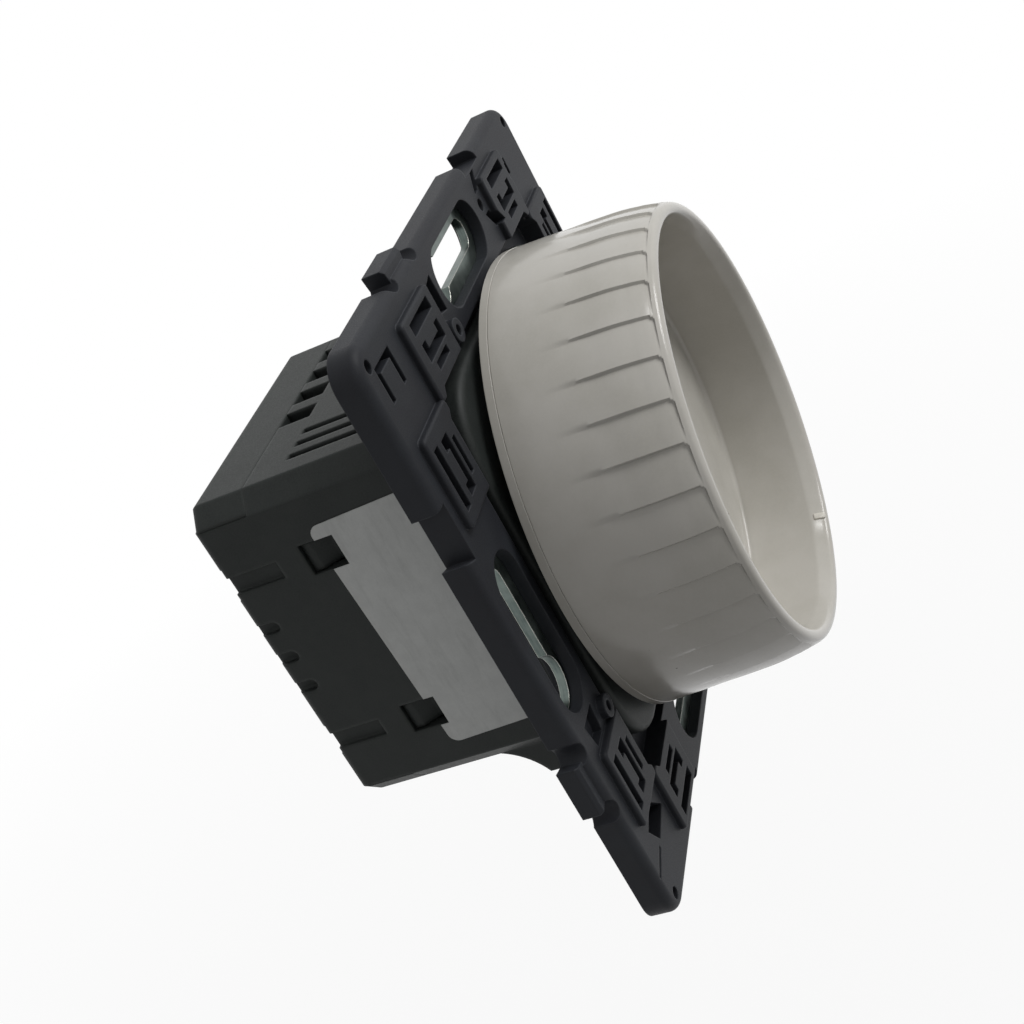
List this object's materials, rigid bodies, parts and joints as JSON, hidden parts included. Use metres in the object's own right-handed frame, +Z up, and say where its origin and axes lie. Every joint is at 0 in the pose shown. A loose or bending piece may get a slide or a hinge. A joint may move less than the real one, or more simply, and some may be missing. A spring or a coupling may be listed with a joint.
{
  "type": "rotary dimmer switch",
  "caption": "Flush rotary push dimmer on a square support frame, with a fluted cup knob and a vented body for a round wall box.",
  "frame": {"origin": "middle of the support frame's rear face, on the knob's axis", "axes": "+Y into the wall along the knob's axis, +Z up with the vents on top, +X to the right seen from the room"},
  "size_m": [0.0734, 0.0555, 0.0734],
  "materials": {
    "frame_plastic": "charcoal polycarbonate, finely eroded mould face, satin",
    "body_plastic": "near-black polycarbonate blend, satin",
    "zinc_steel": "bright zinc-plated steel strip, sheared edges",
    "spring_steel": "blank spring steel",
    "label_film": "bare off-white film, semi-matte",
    "knob_plastic": "warm white moulding, semi-gloss",
    "mark_paint": "pale filled mark",
    "brass": "tinned and bare brass",
    "black_resin": "black moulding resin",
    "laminate": "glass-filled laminate",
    "nylon": "natural nylon",
    "aluminium": "mill-finish sheet",
    "film_epoxy": "yellow potting box",
    "ceramic": "fired ceramic tube",
    "ferrite": "dark sintered ferrite",
    "copper": "enamelled copper wire"
  },
  "bodies": {
    "base": {"support_frame": "frame_plastic", "fixing_plate_top": "zinc_steel", "fixing_plate_left": "zinc_steel", "fixing_plate_bottom": "zinc_steel", "fixing_plate_right": "zinc_steel", "front_cover": "body_plastic", "housing": "body_plastic", "rear_cover": "body_plastic", "rating_label": "label_film", "pot_bushing": "brass", "bushing_nut": "brass", "pot_case": "black_resin", "track_wafer": "laminate", "pot_legs": "brass", "switch_case": "black_resin", "switch_blades": "brass", "circuit_board": "laminate", "heat_sink": "aluminium", "power_transistors": "black_resin", "transistor_screws": "zinc_steel", "film_capacitor": "film_epoxy", "smoothing_capacitor": "aluminium", "fuse_link": "ceramic", "choke_core": "ferrite", "choke_winding": "copper", "control_chip": "black_resin", "terminal_block": "body_plastic", "terminal_clamps": "brass", "clamp_springs": "spring_steel"},
    "rotor": {"wiper_rotor": "nylon", "wiper_contact": "brass"},
    "knob": {"dial_cap": "knob_plastic", "dial_mark": "mark_paint", "dial_carrier": "knob_plastic", "knob_shaft": "zinc_steel", "shaft_ring": "spring_steel", "hub_spring": "spring_steel"},
    "plunger": {"switch_plunger": "nylon", "plunger_spring": "spring_steel"}
  },
  "joints": [
    {"name": "knob_turn", "type": "hinge", "parent": "base", "child": "rotor", "pos_m": [0, 0, 0], "axis": [0, 1, 0], "range_deg": [-300, 0]},
    {"name": "knob_push", "type": "slide", "parent": "rotor", "child": "knob", "axis": [0, 1, 0], "range_m": [0, 0.0008], "stiffness_N_per_m": 2500, "springref_m": -0.0004},
    {"name": "plunger_push", "type": "slide", "parent": "base", "child": "plunger", "axis": [0, 1, 0], "range_m": [0, 0.0008]}
  ],
  "couplings": [
    {"joint": "plunger_push", "follows": "knob_push", "ratio": 1}
  ]
}
